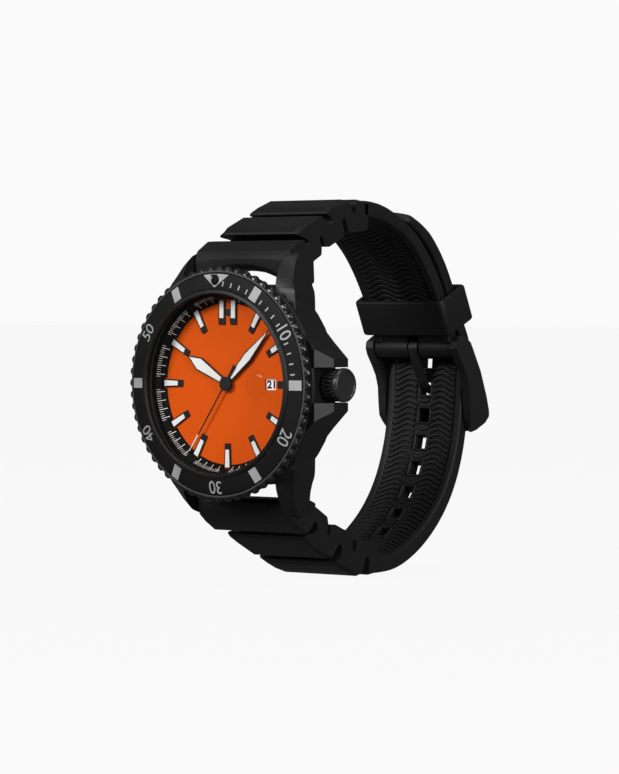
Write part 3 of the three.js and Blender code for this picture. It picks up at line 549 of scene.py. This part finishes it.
# ---- dial ----
def minute_track():
    softened("chapter_ring", "case", "black_trim", 0.03, 1, 40)
    slope = (CONE_OUT[1] - CONE_IN[1]) / (CONE_OUT[0] - CONE_IN[0])
    flat = lambda x, y: CONE_IN[1] + slope * (math.hypot(x, y) - CONE_IN[0])
    low = lambda x, y: flat(x, y) - 0.02
    high = lambda x, y: flat(x, y) + 0.03
    ticks = []
    for quarter in range(TICK_COUNT):
        minute = quarter / 4
        from_index = abs((minute + 2.5) % 5 - 2.5)
        if from_index < INDEX_CLEAR or min(quarter, TICK_COUNT - quarter) < TWELVE_CLEAR:
            continue
        half, inner = QUARTER_TICK if quarter % 4 else MINUTE_TICK
        ticks.append(spun(bar(half, inner, TICK_OUT), minute * 6))
    plates("minute_ticks", ticks, low, high, "case", "lume", "black_trim")


def hour_marks():
    for hour in range(1, 13):
        softened("hour_index_%02d" % hour, "case", "hands_black", 0.06)
    inlays = []
    for hour in range(1, 12):
        inner = INDEX_THREE_IN if hour == 3 else INDEX_IN
        inlays.append(spun(bar(0.4, inner, INDEX_OUT, 0.52), hour * 30))
    for side in (-TWELVE_SIDE, TWELVE_SIDE):
        inlays.append(bar(TWELVE_HALF, INDEX_IN, INDEX_OUT, middle=side))
    plates("index_lume", inlays, DIAL_TOP + 0.25, DIAL_TOP + 0.33, "case", "lume", "hands_black")


def leaf(root, wide, shoulder, tip):
    """A hand's inlay, pointing to 12 o'clock: half widths at its root and shoulder, then its tip."""
    return [(root, HAND_ROOT), (wide, shoulder), (0, tip), (-wide, shoulder), (-root, HAND_ROOT)]


def hands():
    for hand in ("hour", "minute", "second"):
        softened(hand + "_hand", hand + "_arbor", "hands_black", 0.04)
    for name, hand, outline, angle, heights in (
            ("hour_hand_lume", "hour", leaf(0.42, 1, 7.4, 10), HOUR_ANGLE, HOUR_LUME),
            ("minute_hand_lume", "minute", leaf(0.3, 0.74, 7, 13.4), MINUTE_ANGLE, MINUTE_LUME),
            ("second_hand_tip", "second", bar(0.1, 11.2, 14.66, 0.07), SECOND_ANGLE, SECOND_LUME)):
        plates(name, [spun(outline, angle)], *heights, hand + "_arbor", "lume", "hands_black")


def date_numbers():
    parts = []
    for day in range(1, DATE_DAYS + 1):
        turn = (DATE_SHOWN - day) * 2 * math.pi / DATE_DAYS
        at, faces = lettering(str(day), DATE_HEIGHT, 1.12, weight=0.035)
        c, s = math.cos(turn), math.sin(turn)
        placed = [((x + DATE_MIDDLE) * c - y * s, (x + DATE_MIDDLE) * s + y * c) for x, y in at]
        parts.append(raised_text(placed, faces, *DATE_INK))
    points, faces = joined(parts)
    add_piece("date_numbers", from_dial(points), faces, "date_ring", "print_black")


def glass():
    crystal = filleted([(0, 10, 0), (16.7, 10, 0.1), (16.7, 11.75, 0.1), (16.35, 12.05, 0.15),
                        (0, 12.05, 0)], 0.1, 4)
    rim = filleted([(16.05, 12.03, 0), (16.95, 12.03, 0), (16.95, 12.2), (16.7, 12.48), (16.2, 12.56),
                    (16.05, 12.4)], 0.08, 3)
    turned("crystal_rim", rim, "case", "rim_black", 240)
    turned("crystal_shape", crystal, "case", "sapphire", 180, ("crystal",))
    angles = np.linspace(0, math.pi / 2, 12)
    arc = [(LENS_RADIUS * math.cos(a), LENS_FOOT + LENS_RISE * math.sin(a)) for a in angles]
    place = lambda points: from_dial([(x + LENS_MIDDLE, y, z) for x, y, z in points])
    turned("date_lens_shape", [(0, LENS_FOOT)] + arc, "case", "sapphire", 72, ("date_magnifier",), place)


# ---- case, crown, strap, buckle ----
def crown():
    """A fluted grip under a smooth collar, with a sunk disc in the end."""

    def grip(angle, r, x):
        wave = 0.5 - 0.5 * math.cos(CROWN_FLUTES * angle)
        return r - FLUTE_DEPTH * wave ** FLUTE_SHAPE if r > FLUTE_IN and x < FLUTE_END else r

    profile = filleted([(0, 22, 0), (1.75, 22, 0), (1.75, 20.2, 0.1), (2.62, 20.2, 0.2), (2.92, 20.5, 0.15),
                        (2.92, 22.3, 0.05), (2.6, 22.42, 0.05), (2.6, 22.6, 0.05), (3.03, 22.7, 0.12),
                        (3.03, 23.35, 0.2), (2.75, 23.7, 0.15), (2.42, 23.7, 0.1), (2.3, 23.5, 0.08),
                        (0, 23.5, 0)], 0.1, 3)
    place = lambda points: [(z * MM, -(CROWN_RISE + y) * MM, x * MM) for x, y, z in points]
    turned("crown_shape", profile, "crown_stem", "crown_black", CROWN_FLUTES * 10, ("crown",), place,
           grip)
    stem = [(0, 9.2), (0.45, 9.2), (0.45, 22.1), (0, 22.1)]
    turned("crown_stem_shape", stem, "crown_stem", "crown_black", 36, (), place)


def case_parts():
    softened("mid_case", "case", "coated_steel", 0.1, 2, 25)
    softened("case_back", "case", "case_back_steel", 0.1, 2, 25)
    crown()


# ---- strap and buckle ----
def line_through(corners, per=40):
    """A smooth line through side-view points, with each point's share of the whole length."""
    at = [np.array(corner, float) for corner in corners]
    at = [2 * at[0] - at[1]] + at + [2 * at[-1] - at[-2]]
    out = []
    for a, b, c, d in zip(at, at[1:], at[2:], at[3:]):
        t0, t1, t2 = (np.linalg.norm(q - p) ** 0.5 for p, q in ((a, b), (b, c), (c, d)))
        m1 = ((b - a) / t0 - (c - a) / (t0 + t1) + (c - b) / t1) * t1
        m2 = ((c - b) / t1 - (d - b) / (t1 + t2) + (d - c) / t2) * t1
        for k in range(per):
            u = k / per
            out.append(b + m1 * u + (3 * (c - b) - 2 * m1 - m2) * u * u + (2 * (b - c) + m1 + m2) * u ** 3)
    out.append(at[-2])
    points = np.array(out)
    run = np.concatenate([[0], np.cumsum(np.linalg.norm(np.diff(points, axis=0), axis=1))])
    return points, run / run[-1], run[-1]


def station(line, share):
    """Foot point, direction and normal at a share of a line's length."""
    points, shares, length = line
    spot = lambda at: np.array([np.interp(at, shares, points[:, k]) for k in (0, 1)])
    along = spot(min(1, share + 0.004)) - spot(max(0, share - 0.004))
    along = along / np.linalg.norm(along)
    return spot(share), along, np.array([-along[1], along[0]])


def short_thickness(share):
    return max(END_THICK, 3.3 - 2.6 * share)


def long_thickness(share):
    return max(TAIL_THICK, 3.2 - 1.4 * share) - max(0, share - 0.9) * 9


def strap_lines():
    short = line_through(SHORT_INNER)
    over = []
    for share, gap in LIE:
        foot, along, out = station(short, share)
        over.append(tuple(foot + out * (short_thickness(share) + gap)))
    return short, line_through(LONG_INNER + over)


def in_frame(x, spot):
    return (x * MM, (spot[0] - RIM) * MM, spot[1] * MM)


def band(name, line, thickness, half, shares, handed, windows, body, half_window, stands_for):
    """A moulded strap with rounded edges, a sunk panel on its inside and square windows through it.

    Shares are the section places along the line, and handed is 1 or -1, for which side is the outside.
    """
    points, faces = [], []
    sections = []
    for share in shares:
        foot, along, out = station(line, share)
        deep, wide = thickness(share), half(share)
        panel = min(PANEL_HALF, wide - 1.6)
        loop = [(-wide, 0, 0.5), (-panel - 0.22, 0, 0.12), (-panel, RECESS, 0.1), (-half_window, RECESS, 0),
                (half_window, RECESS, 0), (panel, RECESS, 0.1), (panel + 0.22, 0, 0.12), (wide, 0, 0.5),
                (wide, deep, 0.55), (half_window, deep, 0), (-half_window, deep, 0), (-wide, deep, 0.55)]
        section = filleted(loop, 0.1, 3)
        sections.append(section)
        points += [in_frame(x, foot + out * lift * handed) for x, lift in section]
    count = len(sections[0])
    flat = [k for k, (x, lift) in enumerate(sections[0]) if abs(abs(x) - half_window) < 1e-6]
    inside, outside = flat[:2], flat[2:]
    middles = [(a + b) / 2 for a, b in zip(shares, shares[1:])]
    open_rows = [any(a - 1e-6 < middle < b for a, b in windows) for middle in middles]
    for i, is_open in enumerate(open_rows):
        low, high = i * count, (i + 1) * count
        for k in range(count):
            if is_open and k in (inside[0], outside[0]):
                continue
            faces.append((low + k, low + (k + 1) % count, high + (k + 1) % count, high + k))
        if is_open:
            for a, b in ((inside[0], outside[1]), (inside[1], outside[0])):
                faces.append((low + a, low + b, high + b, high + a))
    closed = [False] + open_rows + [False]
    for i in range(1, len(shares)):
        if closed[i] != closed[i + 1]:
            faces.append(tuple(i * count + k for k in (*inside, *outside)))
    ends = (0, (len(shares) - 1) * count)
    for start, is_open in zip(ends, (open_rows[0], open_rows[-1])):
        ring = [start + k for k in range(count)]
        if is_open:
            faces.append(tuple(ring[outside[1]:] + ring[:inside[0] + 1]))
            faces.append(tuple(ring[inside[1]:outside[0] + 1]))
        else:
            faces.append(tuple(ring))
    add_piece(name, points, faces, body, "strap_rubber", stands_for=stands_for, sharp=40)


def wave(x):
    return WAVE_HEIGHT * math.cos(2 * math.pi * x / WAVE_LENGTH)


def ridges(name, line, first, last, handed, windows, body):
    """Wavy bars across the sunk panel, left out around the windows."""
    length = line[2]
    parts = []
    section = [(-RIDGE_HALF, RECESS + 0.03), (-RIDGE_HALF + 0.03, 0.2), (-0.27, 0.12), (-0.1, 0.1),
               (0.1, 0.1), (0.27, 0.12), (RIDGE_HALF - 0.03, 0.2), (RIDGE_HALF, RECESS + 0.03)]
    spots = np.linspace(-PANEL_HALF + 0.1, PANEL_HALF - 0.1, 65)
    for row in range(int((last - first) * length / RIDGE_PITCH)):
        middle = first * length + row * RIDGE_PITCH
        runs, run = [], []
        for x in spots:
            at = middle + wave(x) * handed
            covered = any(abs(x) < HOLE_HALF + 0.6 and abs(at - hole * length) < HOLE_REACH + 0.85
                          for hole in windows)
            if covered or not 0 < at < length:
                runs.append(run)
                run = []
            else:
                run.append((x, at))
        runs.append(run)
        for run in runs:
            if len(run) < 4:
                continue
            points, count = [], len(section)
            for x, at in run:
                for shift, lift in section:
                    foot, along, out = station(line, (at + shift) / length)
                    points.append(in_frame(x, foot + out * lift * handed))
            faces = grid_faces(len(run), count, False, True)
            faces += [tuple(range(count)), tuple(range((len(run) - 1) * count, len(run) * count))]
            parts.append((points, faces))
    points, faces = joined(parts)
    add_piece(name, points, faces, body, "strap_rubber", sharp=60)


def hole_frames(name, line, windows, handed, body):
    """A low raised frame around each strap hole."""
    parts = []
    length = line[2]
    for hole in windows:
        loops = []
        for grow, lift in ((-0.04, RECESS + 0.3), (-0.04, 0.4), (0.06, 0.2), (0.18, 0.12), (0.34, 0.12),
                           (0.48, 0.24), (0.54, RECESS + 0.05)):
            wide, tall = HOLE_HALF + grow, HOLE_REACH + grow
            corners = [(-wide, -tall), (wide, -tall), (wide, tall), (-wide, tall)]
            corners = filleted(corners, 0.12 + grow * 0.8, 4)
            loops.append([(x, shift, lift) for x, shift in corners])
        points = []
        for loop in loops:
            for x, shift, lift in loop:
                foot, along, out = station(line, hole + shift / length)
                points.append(in_frame(x, foot + out * lift * handed))
        parts.append((points, grid_faces(len(loops), len(loops[0]), True, True)))
    points, faces = joined(parts)
    add_piece(name, points, faces, body, "strap_rubber", sharp=50)


def lowered(spot, line, handed, cut):
    """Moves a side-view point inwards until it lies at least cut below a line along the crests."""
    near = np.argmin(np.linalg.norm(line[0] - spot, axis=1))
    foot, along, out = station(line, line[1][near])
    out = out * handed
    depth = np.dot(foot - spot, out)
    return spot if depth >= cut else spot - out * (cut - depth)


def ribs(name, outline, shoulders, crest, handed, curve, body):
    """The stepped bellows end of a strap: ribs with cut side corners and a wider end rib.

    A curve of 1 makes the end rib follow the round case wall, and 0 leaves it straight.
    """
    line = line_through(crest, 60)
    rounded = [np.array(spot) for spot in filleted(outline, RIB_ROUND, 5)]
    columns = [(STRAP_HALF, 1.45), (STRAP_HALF, 1.2), (STRAP_HALF - 0.12, 0.95), (STRAP_HALF - 0.85, 0.12),
               (STRAP_HALF - 1.05, 0), (0, 0)]
    columns = [(-x, cut) for x, cut in columns] + [(x, cut) for x, cut in reversed(columns[:-1])]
    points = [in_frame(x, lowered(spot, line, handed, cut)) for x, cut in columns for spot in rounded]
    count = len(rounded)
    faces = grid_faces(len(columns), count, False, True)
    faces += [tuple(range(count)), tuple(range(len(points) - count, len(points)))]
    bevelled(add_piece(name + "_ribs", points, faces, body, "strap_rubber", sharp=40), 0.18, 3, 50)
    across = np.linspace(-SHOULDER_HALF, SHOULDER_HALF, 25)
    rounded = filleted(shoulders, 0.5, 4)
    count = len(rounded)
    points = []
    for x in across:
        drop = (math.sqrt(CASE_WALL ** 2 - x * x) - CASE_WALL) * curve
        for depth, height in rounded:
            share = min(1, max(0, (23 - abs(height)) / 1.8))
            points.append(in_frame(x, (depth, height + drop * share)))
    faces = grid_faces(len(across), count, False, True)
    faces += [tuple(range(count)), tuple(range(len(points) - count, len(points)))]
    bevelled(add_piece(name + "_end", points, faces, body, "strap_rubber", sharp=40), 0.5, 4, 40)


def rod(name, low, high, body, look):
    """A bar along x at the buckle, with rounded ends."""
    profile = filleted([(0, low, 0), (KNUCKLE_RADIUS, low), (KNUCKLE_RADIUS, high), (0, high, 0)],
                       KNUCKLE_ROUND, 4)
    place = lambda points: [in_frame(z, (BAR_DEPTH + x, BAR_HEIGHT + y)) for x, y, z in points]
    turned(name, profile, body, look, 72, (), place)


def keeper(line):
    """A rubber loop around both straps, rounded outside and hollow inside."""
    foot, along, out = station(line, KEEPER_SHARE)
    low, high = -0.35, END_THICK + 1 + TAIL_THICK + 0.45
    wall = 1.1
    loops = []
    for inset, reach in ((0.3, 1), (0.09, 0.95), (0, 0.88), (0, -0.88), (0.09, -0.95), (0.3, -1), (0.8, -1),
                         (wall, -0.93), (wall, 0.93), (0.8, 1)):
        x, bottom, top = KEEPER_HALF - inset, low - wall + inset, high + wall - inset
        corners = [(-x, bottom), (x, bottom), (x, top), (-x, top)]
        loops.append((filleted(corners, max(0.35, 1.35 - inset * 0.9), 6), reach * KEEPER_REACH))
    points = []
    for corners, reach in loops:
        for x, lift in corners:
            points.append(in_frame(x, foot + out * lift + along * reach))
    faces = grid_faces(len(loops), len(loops[0][0]))
    add_piece("keeper_shape", points, faces, "strap_keeper", "strap_rubber", stands_for=("keeper",),
              sharp=50)


def strap_parts():
    short, long = strap_lines()
    ribs("strap_short", RIBS_TWELVE, SHOULDERS_TWELVE, CREST_TWELVE, 1, 1, "strap_twelve")
    ribs("strap_long", RIBS_SIX, SHOULDERS_SIX, CREST_SIX, -1, 0, "strap_six")
    slot = next(share for share in np.linspace(0.5, 1, 400) if station(short, share)[0][1] < BAR_HEIGHT + 3)
    shares = sorted(set(np.linspace(SHORT_START, 1, 66)) | {slot})
    shares = [share for share in shares if share == slot or abs(share - slot) > 0.004]
    band("strap_short_band", short, short_thickness, lambda share: STRAP_HALF, shares, 1, [(slot, 1)],
         "strap_twelve", TONGUE_SLOT_HALF, ("strap_short",))
    ridges("strap_short_ridges", short, RIDGE_START, slot - 0.02, 1, [], "strap_twelve")
    rod("knuckle_left", -STRAP_HALF, -TONGUE_SLOT_HALF, "strap_twelve", "strap_rubber")
    rod("knuckle_right", TONGUE_SLOT_HALF, STRAP_HALF, "strap_twelve", "strap_rubber")
    down = [share for share in np.linspace(0.2, 0.8, 1200) if station(long, share)[0][1] < USED_HOLE_HEIGHT]
    holes = [down[-1] + k * HOLE_PITCH / long[2] for k in range(-6, 2)]
    windows = [(hole - HOLE_REACH / long[2], hole + HOLE_REACH / long[2]) for hole in holes]
    edges = [edge for window in windows for edge in window]
    clear = lambda share: min(abs(share - edge) for edge in edges) > 0.0035
    shares = sorted([share for share in np.linspace(LONG_START, 1, 150) if clear(share)] + edges)
    wide = lambda share: TAIL_HALF - TAIL_PULL * (max(0, share - TAIL_START) / 0.03) ** 2
    band("strap_long_band", long, long_thickness, wide, shares, -1, windows, "strap_six", HOLE_HALF,
         ("strap_long",))
    ridges("strap_long_ridges", long, RIDGE_START, LONG_RIDGE_END, -1, holes, "strap_six")
    hole_frames("strap_hole_frames", long, holes, -1, "strap_six")
    keeper(short)
    softened("buckle_frame", "buckle", "buckle_black", 0.5, 4, 25)
    softened("buckle_tongue", "tongue", "buckle_black", 0.2, 3, 25)
    softened("buckle_bar", "strap_twelve", "buckle_black", 0.15, 2, 25)


# ---- camera, light, floor ----
def camera():
    azimuth, elevation = math.radians(AZIMUTH), math.radians(ELEVATION)
    back = Vector((math.sin(azimuth) * math.cos(elevation), -math.cos(azimuth) * math.cos(elevation),
                   math.sin(elevation)))
    right = Vector((math.cos(azimuth), math.sin(azimuth), 0))
    up = back.cross(right)
    rim_centre = Vector((0, -RIM, 0))
    place = (rim_centre + right * CAMERA_SIDE - up * CAMERA_DROP + back * CAMERA_AWAY) * MM
    data = bpy.data.cameras.new("camera")
    data.sensor_width = SENSOR
    data.lens = LENS
    data.clip_start = CLIP_NEAR
    holder = bpy.data.objects.new("camera", data)
    holder.matrix_world = Matrix((right, up, back)).transposed().to_4x4()
    holder.location = place
    bpy.context.scene.collection.objects.link(holder)
    bpy.context.scene.camera = holder


def softbox(name, place, size, power):
    data = bpy.data.lights.new(name, "AREA")
    data.shape = "RECTANGLE"
    data.size, data.size_y = size
    data.energy = power
    holder = bpy.data.objects.new(name, data)
    holder.location = place
    aim = Vector(LIGHT_AIM) - Vector(place)
    holder.rotation_euler = aim.to_track_quat("-Z", "Y").to_euler()
    bpy.context.scene.collection.objects.link(holder)


def studio():
    scene = bpy.context.scene
    scene.view_settings.view_transform = "Standard"
    world = bpy.data.worlds.new("studio")
    scene.world = world
    world.use_nodes = True
    nodes, links = world.node_tree.nodes, world.node_tree.links
    lit = nodes["Background"]
    lit.inputs["Color"].default_value = (1, 1, 1, 1)
    lit.inputs["Strength"].default_value = WORLD_LIT
    seen = nodes.new("ShaderNodeBackground")
    seen.inputs["Color"].default_value = (BACKDROP, BACKDROP, BACKDROP, 1)
    path = nodes.new("ShaderNodeLightPath")
    mix = nodes.new("ShaderNodeMixShader")
    links.new(path.outputs["Is Camera Ray"], mix.inputs["Fac"])
    links.new(lit.outputs["Background"], mix.inputs[1])
    links.new(seen.outputs["Background"], mix.inputs[2])
    links.new(mix.outputs["Shader"], nodes["World Output"].inputs["Surface"])
    for name, place, size, power in LIGHTS:
        softbox(name, place, size, power)


def floor():
    level = cad_box[0][2] - FLOOR_GAP
    mesh = bpy.data.meshes.new("floor")
    corners = [(x * FLOOR_HALF, y * FLOOR_HALF, level) for x, y in ((-1, -1), (1, -1), (1, 1), (-1, 1))]
    mesh.from_pydata(corners, [], [(0, 1, 2, 3)])
    plane = bpy.data.objects.new("floor", mesh)
    bpy.context.scene.collection.objects.link(plane)
    material, nodes, links, shader = tree("floor")
    shader.inputs["Base Color"].default_value = (FLOOR_BASE, FLOOR_BASE, FLOOR_BASE, 1)
    shader.inputs["Roughness"].default_value = 0.9
    shader.inputs["Specular IOR Level"].default_value = 0
    shader.inputs["Emission Color"].default_value = (1, 1, 1, 1)
    shader.inputs["Emission Strength"].default_value = FLOOR_GLOW
    mesh.materials.append(material)
    plane.visible_glossy = False
    plane.visible_diffuse = False


camera()
bezel()
bezel_marks()
bezel_pip()
minute_track()
hour_marks()
hands()
date_numbers()
glass()
case_parts()
strap_parts()
floor()
studio()
